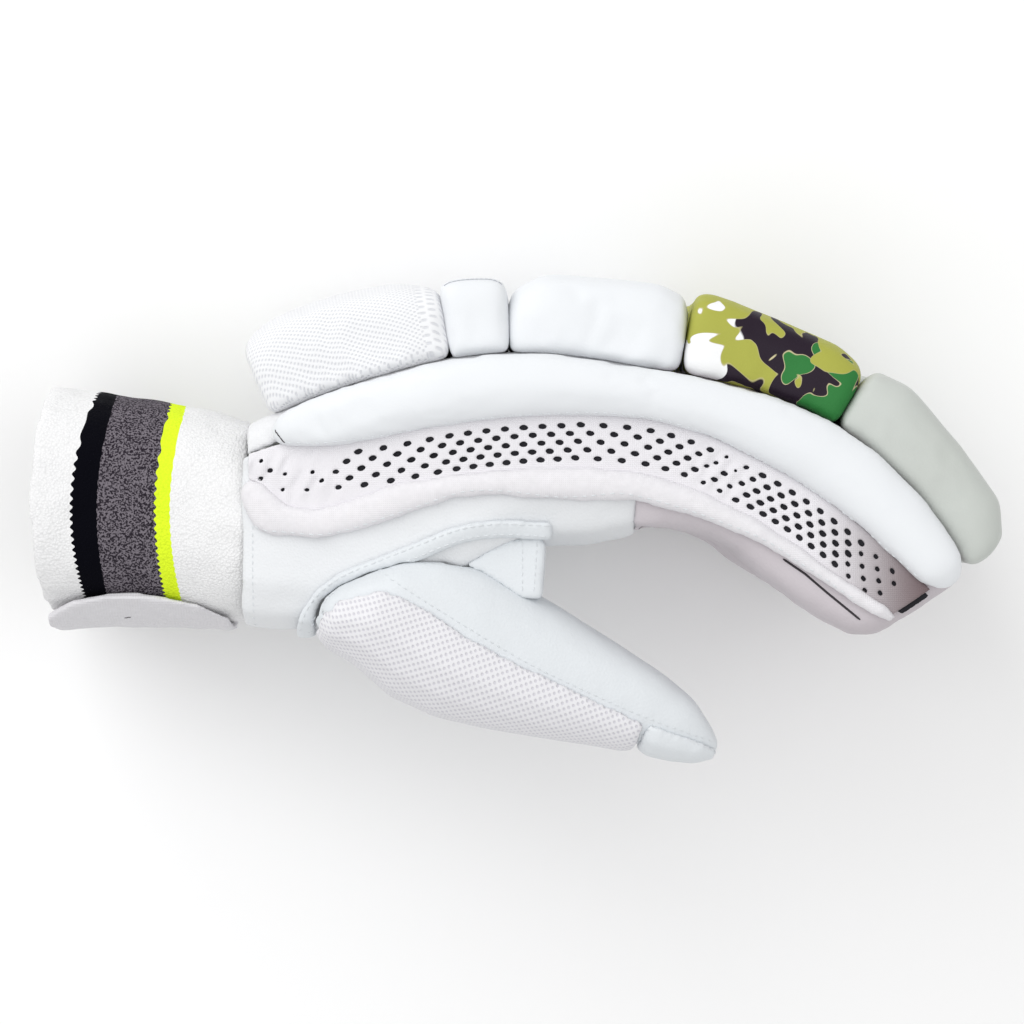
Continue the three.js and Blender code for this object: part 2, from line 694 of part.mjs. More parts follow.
// Strap: a curved tab round the underside of the cuff
const strapRings = stations(0, 1, 6).map((f) => {
  const row = cuffRow(strapSpan.from + (strapSpan.to - strapSpan.from) * f);
  const arch = Math.sqrt(Math.max(1 - Math.pow(2 * f - 1, 2), 0.02));
  const turns = stations(strapTurns.back, strapTurns.front + strapTurns.tip * arch, 7);
  const stand = strapSlack * (1 - f) * (1 - f);
  const under = cuffRing(row, stand - seat, turns);
  const over = cuffRing(row, stand + seat + strapThick, turns);
  return [...under, ...over.reverse()];
});
add("wrist_strap", loft(strapRings).subtract(cuffSolid(seat, 1)), { color: "#e4e6e8", roughness: 0.8 });

const glove = new THREE.Group();
glove.name = "cricket_batting_glove";
for (const [name, { solid, material }] of Object.entries(pieces)) {
  const made = solid.getMesh();
  const geometry = new THREE.BufferGeometry();
  geometry.setAttribute("position", new THREE.BufferAttribute(new Float32Array(made.vertProperties), 3));
  geometry.setIndex(new THREE.BufferAttribute(new Uint32Array(made.triVerts), 1));
  geometry.computeVertexNormals();
  const mesh = new THREE.Mesh(geometry, new THREE.MeshStandardMaterial(material));
  mesh.name = name;
  glove.add(mesh);
}

// The box's bottom centre is the part's origin
glove.updateMatrixWorld(true);
const box = new THREE.Box3().setFromObject(glove, true);
glove.position.set(-(box.min.x + box.max.x) / 2, -(box.min.y + box.max.y) / 2, -box.min.z);
export default glove;
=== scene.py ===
import math

import bmesh
import bpy
from mathutils import Matrix, Vector, noise
from mathutils.bvhtree import BVHTree


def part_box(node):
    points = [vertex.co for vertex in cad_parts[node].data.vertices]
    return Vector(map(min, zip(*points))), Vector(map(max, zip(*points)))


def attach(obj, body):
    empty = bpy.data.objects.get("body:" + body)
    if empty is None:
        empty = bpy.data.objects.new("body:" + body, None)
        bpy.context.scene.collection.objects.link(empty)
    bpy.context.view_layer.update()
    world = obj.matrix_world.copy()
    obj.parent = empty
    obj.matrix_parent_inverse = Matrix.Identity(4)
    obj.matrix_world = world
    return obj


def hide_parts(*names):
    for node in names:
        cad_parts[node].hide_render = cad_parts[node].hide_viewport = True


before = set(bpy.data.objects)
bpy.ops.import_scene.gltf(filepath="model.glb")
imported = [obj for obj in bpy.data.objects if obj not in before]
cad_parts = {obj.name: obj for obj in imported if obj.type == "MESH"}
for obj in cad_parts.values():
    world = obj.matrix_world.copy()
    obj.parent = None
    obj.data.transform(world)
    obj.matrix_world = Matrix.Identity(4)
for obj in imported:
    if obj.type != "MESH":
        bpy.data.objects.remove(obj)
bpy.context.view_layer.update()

# The studio: a pale floor under the glove, a large soft light at the left and one above. The
# camera looks straight down: the glove lies on its little-finger side, thumb side up.
SCENE = bpy.context.scene
MM = 0.001
LENS_STAND = Vector((-0.13, 1.88, 1298)) * MM
VIEW_WIDTH = 262.66 * MM  # what the frame takes in at VIEW_REACH from the lens
VIEW_REACH = 1200 * MM
FLOOR_HALF = 3.0
AMBIENT = 0.62
LAMPS = (  # place, size and power
    ("window_left", (-0.8, 0.85, 0.95), 1.4, 10.5),
    ("sheet_above", (0.2, -0.1, 1.7), 1.8, 10.0),
)


def linked(name, data):
    piece = bpy.data.objects.new(name, data)
    SCENE.collection.objects.link(piece)
    return piece


def meshed(name, bm):
    """A piece made of a finished bmesh."""
    mesh = bpy.data.meshes.new(name)
    bm.to_mesh(mesh)
    bm.free()
    return linked(name, mesh)


def plugged(tree, socket, value):
    """Links a socket to another one, or sets its value."""
    if isinstance(value, bpy.types.NodeSocket):
        tree.links.new(value, socket)
    else:
        socket.default_value = value


def wired(tree, kind, **values):
    """A node with its settings, its fixed socket values and its incoming links."""
    made = tree.nodes.new(kind)
    for key, value in values.items():
        socket = made.inputs.get(key.replace("_", " ")) if key[0].isupper() else None
        if socket is None:
            setattr(made, key, value)
        else:
            plugged(tree, socket, value)
    return made


def finished(name, roughness, sheen=0.0, specular=0.35):
    """A new material with its node tree and its shader."""
    made = bpy.data.materials.new(name)
    made.use_nodes = True
    shader = made.node_tree.nodes["Principled BSDF"]
    shader.inputs["Roughness"].default_value = roughness
    shader.inputs["Specular IOR Level"].default_value = specular
    shader.inputs["Sheen Weight"].default_value = sheen
    return made, made.node_tree, shader


floor_bm = bmesh.new()
bmesh.ops.create_grid(floor_bm, x_segments=2, y_segments=2, size=FLOOR_HALF)
floor = meshed("studio_floor", floor_bm)
paper, paper_tree, paper_shader = finished("studio_paper", 0.9)
paper_shader.inputs["Base Color"].default_value = (0.95, 0.95, 0.95, 1)
floor.data.materials.append(paper)

lens = bpy.data.cameras.new("lens")
lens.sensor_width = 36
lens.lens = lens.sensor_width * VIEW_REACH / VIEW_WIDTH
lens.clip_end = 10
viewer = linked("viewer", lens)
viewer.location = LENS_STAND
SCENE.camera = viewer

for lamp_name, stand_at, size, power in LAMPS:
    lamp = bpy.data.lights.new(lamp_name, "AREA")
    lamp.size = size
    lamp.energy = power
    stand = linked(lamp_name, lamp)
    stand.location = stand_at
    stand.rotation_euler = (-Vector(stand_at)).to_track_quat("-Z", "Y").to_euler()
sky = bpy.data.worlds.new("studio_air")
sky.use_nodes = True
sky.node_tree.nodes["Background"].inputs["Color"].default_value = (1, 1, 1, 1)
sky.node_tree.nodes["Background"].inputs["Strength"].default_value = AMBIENT
SCENE.world = sky
SCENE.view_settings.view_transform = "Standard"

# Finger stalls: four tubes of soft white leather, sewn shut at the fingertips and into the
# palm's edge. The far ones show only from the palm side, in the shade of the hand; that shade is
# also painted into the leather's colour, a darker pinkish grey than the palm's.
REACH = 203.0  # wrist to fingertip along the back, millimetres
HAND_DEPTH = 50.0
SIDE_PAD = 7.0
FINGER_PITCH = 23.0
HAND_WIDTH = 4 * FINGER_PITCH
WEB_AT = 0.522 * REACH
FINGERS = ("little", "ring", "middle", "index")
BACK_START = (-66.03, 25.48, math.radians(23.9))
BACK_ARCS = (  # share of the reach, and the turn in degrees
    (0.2235, -10.3), (0.2235, -24.0), (0.0851, 2.0), (0.1404, -9.7), (0.2433, -35.3), (0.0842, -2.9)
)
WRIST_LEAN = 45.0  # length over which the cross-sections lean into line with the back
SEARCH_FROM, SEARCH_TO, HALVINGS = -14.0, 218.0, 24


def back_line(s):
    """Point and heading on the back's centre line, s millimetres from the wrist."""
    x, y, heading = BACK_START
    for share, turn in BACK_ARCS:
        length = share * REACH
        step = min(s, length)
        bend = math.radians(turn) * max(step, 0) / length
        chord = step if abs(bend) < 1e-9 else 2 * step * math.sin(bend / 2) / bend
        x += chord * math.cos(heading + bend / 2)
        y += chord * math.sin(heading + bend / 2)
        heading += bend
        s -= step
        if s <= 0:
            return x, y, heading
    return x + s * math.cos(heading), y + s * math.sin(heading), heading


def headed(s):
    """The direction of the back line."""
    heading = back_line(s)[2]
    return Vector((math.cos(heading), math.sin(heading), 0))


def lean(s, heading, out):
    """How a cross-section is turned: upright at the wrist below the back line."""
    f = min(max(s / WRIST_LEAN, 0), 1)
    return heading * (f * f * (3 - 2 * f) if out < 0 else 1)


def on_glove(s, out, across):
    """A place in metres: along the back, out from it, and up across the width."""
    x, y, heading = back_line(s)
    angle = lean(s, heading, out)
    return Vector((x - out * math.sin(angle), y + out * math.cos(angle), across)) * MM


def off_glove(point):
    """Millimetres along the back, and out from it, of a place on the glove."""
    low, high = SEARCH_FROM, SEARCH_TO
    for _ in range(HALVINGS):
        s = (low + high) / 2
        x, y, heading = back_line(s)
        dx, dy = point.x / MM - x, point.y / MM - y
        angle = lean(s, heading, dy)
        low, high = (s, high) if dx * math.cos(angle) + dy * math.sin(angle) > 0 else (low, s)
    return s, -dx * math.sin(angle) + dy * math.cos(angle)


def settled(piece):
    """The piece's mesh as its modifiers leave it."""
    shown = piece.evaluated_get(bpy.context.evaluated_depsgraph_get())
    mesh = bpy.data.meshes.new_from_object(shown)
    piece.modifiers.clear()
    piece.data = mesh
    return piece


def copied(node, name):
    """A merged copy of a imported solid."""
    bm = bmesh.new()
    bm.from_mesh(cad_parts[node].data)
    bmesh.ops.remove_doubles(bm, verts=bm.verts, dist=0.002 * MM)
    bmesh.ops.dissolve_degenerate(bm, edges=bm.edges, dist=0.001 * MM)
    bmesh.ops.recalc_face_normals(bm, faces=bm.faces)
    return meshed(name, bm)


def smoothed(piece, rounds):
    bm = bmesh.new()
    bm.from_mesh(piece.data)
    for _ in range(rounds):
        bmesh.ops.smooth_vert(
            bm, verts=bm.verts, factor=0.5, use_axis_x=True, use_axis_y=True, use_axis_z=True
        )
    bm.to_mesh(piece.data)
    bm.free()
    for face in piece.data.polygons:
        face.use_smooth = True
    return piece


def remeshed(piece, voxel, rounds):
    """The piece in even small faces with softened edges."""
    even = piece.modifiers.new("even", "REMESH")
    even.mode = "VOXEL"
    even.voxel_size = voxel * MM
    return smoothed(settled(piece), rounds)


def evened(node, name, voxel, rounds):
    """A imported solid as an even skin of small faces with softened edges."""
    return remeshed(copied(node, name), voxel, rounds)


def creased(point, scale):
    """Soft rumples about scale millimetres across, from -1 to 1."""
    p = point / MM / scale
    return noise.noise(p) + 0.5 * noise.noise(p * 2.1 + Vector((7, 3, 1)))


def rippled(piece, swell=0.0, ripple=0.0, across=10):
    """Swells a piece by millimetres along its normals, with soft ripples of that height."""
    mesh = piece.data
    moves = [v.normal * (swell + ripple * creased(v.co, across)) * MM for v in mesh.vertices]
    for vert, move in zip(mesh.vertices, moves):
        vert.co += move
    mesh.update()
    return piece


def shown_as(piece, node, material):
    """Finishes a piece: its material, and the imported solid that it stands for."""
    piece.data.materials.clear()
    piece.data.materials.append(material)
    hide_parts(node)
    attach(piece, "root")
    return piece


def grouped(name, takes, gives):
    """A node group with its sockets, its input node and its output node."""
    made = bpy.data.node_groups.new(name, "ShaderNodeTree")
    for socket, kind in takes:
        made.interface.new_socket(socket, in_out="INPUT", socket_type="NodeSocket" + kind)
    for socket in gives:
        made.interface.new_socket(socket, in_out="OUTPUT", socket_type="NodeSocketFloat")
    return made, wired(made, "NodeGroupInput"), wired(made, "NodeGroupOutput")


def worked(tree, operation, *values):
    """The result of a math node."""
    node = wired(tree, "ShaderNodeMath", operation=operation)
    for socket, value in zip(node.inputs, values):
        plugged(tree, socket, value)
    return node.outputs[0]


def ranged(tree, value, start, end, first=0.0, last=1.0, **settings):
    """A value that goes from first to last while another goes from start to end."""
    made = wired(tree, "ShaderNodeMapRange", **settings)
    for socket, given in zip(made.inputs, (value, start, end, first, last)):
        plugged(tree, socket, given)
    return made.outputs[0]


def tinted(tree, mask, below, above):
    """One colour where the mask is 0 and the other where it is 1."""
    mix = wired(tree, "ShaderNodeMix", data_type="RGBA")
    tree.links.new(mask, mix.inputs[0])
    for socket, tint in ((mix.inputs[6], below), (mix.inputs[7], above)):
        plugged(tree, socket, tint if isinstance(tint, bpy.types.NodeSocket) else (*tint, 1))
    return mix.outputs[2]


def raised(tree, shader, height, strength, depth):
    """The shader's relief, from a height; the depth is in millimetres."""
    relief = wired(tree, "ShaderNodeBump", Strength=strength, Distance=depth * MM, Height=height)
    tree.links.new(relief.outputs["Normal"], shader.inputs["Normal"])
    return relief


GRAIN, grain_in, grain_out = grouped("leather_grain", (("Scale", "Float"),), ("Height", "Tone"))
grain_at = wired(GRAIN, "ShaderNodeTexCoord").outputs["Object"]
grain_cells = wired(
    GRAIN, "ShaderNodeTexVoronoi", feature="SMOOTH_F1", Vector=grain_at, Scale=grain_in.outputs[0]
)
grain_cloud = wired(GRAIN, "ShaderNodeTexNoise", Vector=grain_at, Scale=90.0, Detail=3.0)
grain_sum = worked(GRAIN, "ADD", grain_cells.outputs["Distance"], grain_cloud.outputs["Fac"])
grain_slow = wired(GRAIN, "ShaderNodeTexNoise", Vector=grain_at, Scale=24.0, Detail=2.0)
GRAIN.links.new(grain_sum, grain_out.inputs["Height"])
GRAIN.links.new(grain_slow.outputs["Fac"], grain_out.inputs["Tone"])


def leather(name, light, shade, roughness, bump, scale=1800.0):
    """Soft leather in two close tones with a fine grain."""
    made, tree, shader = finished(name, roughness)
    grain = wired(tree, "ShaderNodeGroup", node_tree=GRAIN, Scale=scale)
    tree.links.new(tinted(tree, grain.outputs["Tone"], shade, light), shader.inputs["Base Color"])
    raised(tree, shader, grain.outputs["Height"], bump, 0.3)
    return made


# Painted shade: the stalls' white leather is coloured a darker pinkish grey for the shade under the hand.
SHADED_STALL_LEATHER = leather("stall_leather_painted_shade", (0.66, 0.62, 0.65), (0.50, 0.455, 0.48), 0.62, 0.35)
MOUTH_TUCK = 5.0  # length over which a stall's mouth is drawn under the palm's edge
MOUTH_DRAW = 1.6
for finger in FINGERS:
    stall = evened(finger + "_stall", "stall_skin_" + finger, voxel=1.4, rounds=7)
    rippled(stall, ripple=0.45, across=8)
    for vert in stall.data.vertices:
        s = off_glove(vert.co)[0]
        vert.co -= headed(s) * MOUTH_DRAW * max(1 - (s - WEB_AT) / MOUTH_TUCK, 0) * MM
    shown_as(stall, finger + "_stall", SHADED_STALL_LEATHER)

# Palm: one cut of supple white leather round the palm and both lower sides, turned up to the
# back and sewn to it; it creases where the thumb and the wrist bend.
PALM_LEATHER = leather("palm_leather", (0.79, 0.805, 0.82), (0.735, 0.75, 0.77), 0.6, 0.4)
OVER_CUFF, OVER_STALLS = 1.3, 1.2  # how far its edges are drawn over what they are sewn to
EDGE_DRAWN = 5.0
EDGE_FLAT = 1.0
palm = rippled(evened("palm", "palm_skin", voxel=1.05, rounds=9), swell=0.35, ripple=0.4, across=11)
SEAM_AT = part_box("palm")[0][0]
for vert in palm.data.vertices:
    s = off_glove(vert.co)[0]
    from_cuff = (vert.co.x - SEAM_AT) / MM - EDGE_FLAT
    vert.co.x -= OVER_CUFF * MM * max(1 - from_cuff / EDGE_DRAWN, 0)
    vert.co += headed(s) * OVER_STALLS * MM * max(1 - (WEB_AT - s) / EDGE_DRAWN, 0)
shown_as(palm, "palm", PALM_LEATHER)

# Back panel: plain white cotton over the back of the hand, under the padding, sewn to the
# palm along both sides and to the towelling at the wrist.
WEAVE, weave_in, weave_out = grouped("plain_weave", (("Pitch", "Float"),), ("Height",))
weave_at = wired(WEAVE, "ShaderNodeTexCoord").outputs["Object"]
weave_parts = wired(WEAVE, "ShaderNodeSeparateXYZ", Vector=weave_at)
weave_sum = weave_parts.outputs["Z"]
for axis in ("X", "Y"):
    turns = worked(WEAVE, "DIVIDE", weave_parts.outputs[axis], weave_in.outputs["Pitch"])
    weave_sum = worked(WEAVE, "ADD", weave_sum, worked(WEAVE, "SINE", turns))
WEAVE.links.new(weave_sum, weave_out.inputs["Height"])


def woven(tree, shader, pitch, bump):
    """The relief of a plain weave whose threads repeat after pitch millimetres."""
    weave = wired(tree, "ShaderNodeGroup", node_tree=WEAVE, Pitch=pitch * MM / (2 * math.pi))
    raised(tree, shader, weave.outputs["Height"], bump, 0.1)


def cloth(name, colour, pitch, bump, sheen=0.1):
    """Plain woven cloth of one colour with a fine visible thread."""
    made, tree, shader = finished(name, 0.85, sheen)
    at = wired(tree, "ShaderNodeTexCoord")
    fuzz = wired(tree, "ShaderNodeTexNoise", Vector=at.outputs["Object"], Scale=700.0, Detail=2.0)
    dull, bright = [c * 0.93 for c in colour], [min(c * 1.05, 1) for c in colour]
    tree.links.new(tinted(tree, fuzz.outputs["Fac"], dull, bright), shader.inputs["Base Color"])
    woven(tree, shader, pitch, bump)
    return made


BACK_COTTON = cloth("back_cotton", (0.82, 0.825, 0.84), 0.45, 0.3)
back_panel = evened("back_panel", "back_cloth", voxel=1.2, rounds=6)
rippled(back_panel, swell=0.35, ripple=0.3, across=8)
shown_as(back_panel, "back_panel", BACK_COTTON)

# Back pad: a thick foam block over the back of the hand in white knitted air mesh, whose small
# staggered dimples run round its edges; it is sewn down along its foot and ribbed at its far end.
KNIT, knit_in, knit_out = grouped(
    "air_mesh_knit", (("Map", "Vector"), ("Long", "Float"), ("Wide", "Float")), ("Height", "Dimple")
)
DIMPLE_RIM, DIMPLE_FLOOR = 0.1, 0.85  # levels of the knit's wave
knit_parts = wired(KNIT, "ShaderNodeSeparateXYZ", Vector=knit_in.outputs["Map"])
knit_waves = []
for axis, pitch in (("X", "Long"), ("Y", "Wide")):
    turns = worked(KNIT, "DIVIDE", knit_parts.outputs[axis], knit_in.outputs[pitch])
    knit_waves.append(worked(KNIT, "COSINE", worked(KNIT, "MULTIPLY", turns, math.pi)))
knit_mask = ranged(
    KNIT, worked(KNIT, "MULTIPLY", *knit_waves), DIMPLE_RIM, DIMPLE_FLOOR,
    interpolation_type="SMOOTHSTEP",
)
KNIT.links.new(worked(KNIT, "MULTIPLY", knit_mask, -1.0), knit_out.inputs["Height"])
KNIT.links.new(knit_mask, knit_out.inputs["Dimple"])
KNIT_WIDE = 0.64
RIB_LONG, RIB_WIDE, RIB_START = 3, 1.6, 0.6  # times the knit's pitches, and where they set in


def air_mesh(name, light, dimple_shade, long, ribs_from=None):
    """White air mesh over foam, its dimples painted darker than the knit as shade; ribbed past ribs_from.
    """
    made, tree, shader = finished(name, 0.85, 0.1)
    chart = wired(tree, "ShaderNodeUVMap", uv_map="wrap").outputs["UV"]
    knit = wired(
        tree, "ShaderNodeGroup", node_tree=KNIT, Map=chart, Long=long * MM, Wide=KNIT_WIDE * MM
    )
    dimple_shade_mask, height = knit.outputs["Dimple"], knit.outputs["Height"]
    if ribs_from:
        ribs = wired(
            tree, "ShaderNodeGroup", node_tree=KNIT, Map=chart,
            Long=RIB_LONG * long * MM, Wide=RIB_WIDE * KNIT_WIDE * MM,
        )
        parts = wired(tree, "ShaderNodeSeparateXYZ", Vector=chart)
        past = ranged(tree, parts.outputs["X"], ribs_from * MM, (ribs_from + RIB_START) * MM)
        joined = []
        for socket in ("Dimple", "Height"):
            mix = wired(tree, "ShaderNodeMix", data_type="FLOAT")
            tree.links.new(past, mix.inputs[0])
            tree.links.new(knit.outputs[socket], mix.inputs[2])
            tree.links.new(ribs.outputs[socket], mix.inputs[3])
            joined.append(mix.outputs[0])
        dimple_shade_mask, height = joined
    # Painted shade: the dimples take the darker colour, as if shaded.
    tree.links.new(tinted(tree, dimple_shade_mask, light, dimple_shade), shader.inputs["Base Color"])
    raised(tree, shader, height, 0.5, 0.4)
    return made


STUFFING_STEPS = 20


def stuffed(pieces, sewn, slack, most=1.6):
    """Lets foam swell the sewn covers: cloth with pressure, held where sewn(place) is true."""
    starts = []
    for piece in pieces:
        starts.append([v.co.copy() for v in piece.data.vertices])
        held = piece.vertex_groups.new(name="sewn")
        held.add([v.index for v in piece.data.vertices if sewn(v.co)], 1.0, "REPLACE")
        cover = piece.modifiers.new("cover", "CLOTH")
        cover.settings.quality = 4
        cover.settings.mass = 0.2
        cover.settings.tension_stiffness = cover.settings.compression_stiffness = 14
        cover.settings.shear_stiffness = 8
        cover.settings.bending_stiffness = 0.6
        cover.settings.use_pressure = True
        cover.settings.uniform_pressure_force = 4.0
        cover.settings.shrink_min = -slack
        cover.settings.vertex_group_mass = "sewn"
        cover.settings.effector_weights.gravity = 0
        cover.collision_settings.use_collision = False
    for step in range(1, STUFFING_STEPS + 1):
        SCENE.frame_set(step)
    for piece, start in zip(pieces, starts):
        settled(piece)
        piece.vertex_groups.clear()
        for vert, before in zip(piece.data.vertices, start):
            move = vert.co - before
            vert.co = before + move * min(1, most * MM / max(move.length, 1e-9))
    SCENE.frame_set(1)
    for piece in pieces:
        finer = piece.modifiers.new("finer", "SUBSURF")
        finer.levels = finer.render_levels = 1
        smoothed(settled(piece), 1)


PAD_TOP = 21.0  # millimetres from the back line to the top of the pads
FOOT_HIGH = 1.4  # how high the covers' sewn feet stand over the back line


def charted(piece, spots):
    """The UV map in metres that a knit or print follows, from one spot for each vertex."""
    chart = piece.data.uv_layers.new(name="wrap")
    for loop in piece.data.loops:
        chart.data[loop.index].uv = spots[loop.vertex_index]


def wrapped(piece, node):
    """A map along the back, and round the pad from the middle of its top."""
    low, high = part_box(node)
    middle, half = (low[2] + high[2]) / 2, (high[2] - low[2]) / 2
    spots = []
    for vert in piece.data.vertices:
        s, out = off_glove(vert.co)
        across = vert.co.z - middle
        side = max(min(across / half, 1), -1)
        spots.append((s * MM, across + side * (PAD_TOP - out) * MM))
    charted(piece, spots)


def foot_sewn(at):
    return off_glove(at)[1] < FOOT_HIGH


# The second colour is the painted shade in the dimples.
BACK_MESH = air_mesh("back_air_mesh", (0.85, 0.855, 0.87), (0.70, 0.71, 0.74), 0.8, ribs_from=47.2)
back_pad = evened("back_pad", "back_foam_pad", voxel=1.9, rounds=4)
rippled(back_pad, swell=0.35, ripple=0.25, across=14)
stuffed([back_pad], foot_sewn, slack=0.01)
wrapped(back_pad, "back_pad")
shown_as(back_pad, "back_pad", BACK_MESH)

# Knuckle blocks and finger rolls: foam in smooth white covers, sewn down over each finger in
# separate pieces, so that the fingers bend between them.
SMOOTH_GRAIN = 2600.0
COVER_WHITE = leather(
    "cover_white", (0.815, 0.835, 0.855), (0.775, 0.795, 0.82), 0.5, 0.12, SMOOTH_GRAIN
)
NEAR_VOXEL, FAR_VOXEL = 1.5, 1.8  # the index finger's rolls are the ones seen close up


def foam_roll(kind, finger, rounds, swell, ripple, across):
    """One finger's roll or block of a kind, with the name of the solid that it stands for."""
    node = kind + "_" + finger
    name = kind.split("_")[0] + "_pad_" + finger
    roll = evened(node, name, NEAR_VOXEL if finger == "index" else FAR_VOXEL, rounds)
    return rippled(roll, swell, ripple, across), node


white_rolls = [
    foam_roll(kind, finger, rounds=4, swell=0.4, ripple=0.15, across=11)
    for kind in ("knuckle_block", "finger_roll")
    for finger in FINGERS
]
stuffed([roll for roll, node in white_rolls], foot_sewn, slack=0.008)
for roll, node in white_rolls:
    shown_as(roll, node, COVER_WHITE)

# Camouflage rolls: the same foam rolls under a printed cover, whose olive and green patches lie
# on a ground that turns from white at the knuckle end to near black.
CAMO_FROM, CAMO_TO = 113.0 * MM, 154.4 * MM
PRINT_WHITE, PRINT_DARK = (0.88, 0.885, 0.89), (0.020, 0.012, 0.022)
PRINT_OLIVE, OLIVE_RIM = (0.40, 0.41, 0.075), (0.50, 0.46, 0.22)
PRINT_GREEN, GREEN_RIM = (0.03, 0.19, 0.045), (0.60, 0.54, 0.32)


def camouflage():
    made, tree, shader = finished("camouflage_print", 0.5, specular=0.15)
    chart = wired(tree, "ShaderNodeUVMap", uv_map="wrap").outputs["UV"]
    along = wired(tree, "ShaderNodeSeparateXYZ", Vector=chart)
    aside = worked(tree, "ABSOLUTE", along.outputs["Y"])
    spot = wired(tree, "ShaderNodeTexCoord").outputs["Object"]

    def patches(scale, corner, at_start, at_end, upward=0.0):
        """A blotchy field whose level runs along the roll, and up it."""
        shifted = wired(tree, "ShaderNodeVectorMath", operation="ADD", Vector=spot)
        shifted.inputs[1].default_value = corner
        blot = wired(
            tree, "ShaderNodeTexNoise", Vector=shifted.outputs[0], Scale=scale, Detail=1.0,
            Distortion=0.7,
        )
        level = ranged(tree, along.outputs["X"], CAMO_FROM, CAMO_TO, at_start, at_end)
        rise = worked(tree, "MULTIPLY_ADD", aside, -upward, level)
        return worked(tree, "ADD", blot.outputs["Fac"], rise)

    def over(field, below, above, level=0.5, soft=0.004):
        return tinted(tree, ranged(tree, field, level - soft, level + soft), below, above)

    fade = patches(scale=75, corner=(0.3, 0.1, 0), at_start=-0.26, at_end=0.75)
    leaf = patches(scale=110, corner=(2.3, 4.1, 0), at_start=-0.74, at_end=-0.03, upward=-9.0)
    blob = patches(scale=95, corner=(9.1, 6.4, 0), at_start=0.117, at_end=-0.003, upward=7.0)
    printed = over(fade, PRINT_WHITE, PRINT_DARK)
    printed = over(leaf, over(leaf, printed, GREEN_RIM, level=0.49), PRINT_GREEN)
    printed = over(blob, over(blob, printed, OLIVE_RIM, level=0.492), PRINT_OLIVE)
    tree.links.new(printed, shader.inputs["Base Color"])
    grain = wired(tree, "ShaderNodeGroup", node_tree=GRAIN, Scale=SMOOTH_GRAIN)
    raised(tree, shader, grain.outputs["Height"], 0.15, 0.3)
    return made


CAMOUFLAGE = camouflage()
camo_rolls = [
    foam_roll("camo_roll", finger, rounds=3, swell=0.35, ripple=0.15, across=9) for finger in FINGERS
]
stuffed([roll for roll, node in camo_rolls], foot_sewn, slack=0.005)
for roll, node in camo_rolls:
    wrapped(roll, node)
    shown_as(roll, node, CAMOUFLAGE)

# Fingertip rolls: foam caps over the last finger bone in a greenish white cover, painted grey for the
# shade over the fingertips, sewn down like the rolls before them.
# Painted shade: the tip cover's grey stands for the shade at the fingertips.
SHADED_TIP_COVER = leather(
    "tip_cover_painted_shade", (0.60, 0.63, 0.60), (0.49, 0.515, 0.48), 0.5, 0.15, SMOOTH_GRAIN
)
tip_rolls = [
    foam_roll("tip_roll", finger, rounds=4, swell=0.35, ripple=0.2, across=11) for finger in FINGERS
]
stuffed([roll for roll, node in tip_rolls], foot_sewn, slack=0.004)
for roll, node in tip_rolls:
    shown_as(roll, node, SHADED_TIP_COVER)

# Side bolsters: long foam bands in smooth white covers that guard the outer sides of the index
# finger and the little finger; the glove lies on the second, which is pressed flat.
BOLSTER_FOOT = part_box("side_bolster")[0][2] + 3 * MM
bolster = evened("side_bolster", "index_side_pad", voxel=1.4, rounds=6)
rippled(bolster, swell=0.35, ripple=0.2, across=16)
stuffed([bolster], lambda at: at.z < BOLSTER_FOOT, slack=0.01, most=1.0)
shown_as(bolster, "side_bolster", COVER_WHITE)
rest_pad = evened("little_side_bolster", "little_side_pad", voxel=1.8, rounds=4)
shown_as(rest_pad, "little_side_bolster", COVER_WHITE)

# Gusset lining: matt black cloth behind the pierced mesh; it shows only through the holes and
# as a dark edge at the fingertip.
LINING_CLOTH = cloth("lining_cloth", (0.012, 0.012, 0.016), 0.5, 0.3, sheen=0.0)
lining = evened("gusset_lining", "lining_strip", voxel=0.5, rounds=3)
shown_as(lining, "gusset_lining", LINING_CLOTH)

# Pierced mesh: a soft white net between the bolster and the border, its edges tucked under
# both, with rows of staggered oval holes; it rumples at the wrist and over the middle joint.
BANDS = (
    (-0.02, 0.17, 0.24, 0.44), (0.0, 0.18, 0.3, 0.57), (0.04, 0.2, 0.5, 0.66), (0.08, 0.26, 0.58, 0.73),
    (0.15, 0.32, 0.56, 0.73), (0.24, 0.35, 0.6, 0.71), (0.32, 0.352, 0.604, 0.735),
    (0.4, 0.33, 0.59, 0.757), (0.45, 0.3, 0.565, 0.74), (0.5, 0.278, 0.545, 0.685),
    (0.54, 0.28, 0.54, 0.69), (0.61, 0.31, 0.575, 0.71), (0.68, 0.355, 0.615, 0.725),
    (0.77, 0.374, 0.634, 0.72), (0.85, 0.362, 0.622, 0.705), (0.93, 0.32, 0.575, 0.645),
    (0.98, 0.275, 0.485, 0.57), (1.02, 0.245, 0.42, 0.51),
)  # along the back, then the lower edges of bolster, mesh and border, as shares of the hand's depth
BOLSTER, MESH, BORDER = 1, 2, 3
SIDE_HEIGHTS = ((-0.02, 0.88), (0.06, 0.91), (0.15, 0.97), (0.24, 1.0), (1.1, 1.0))


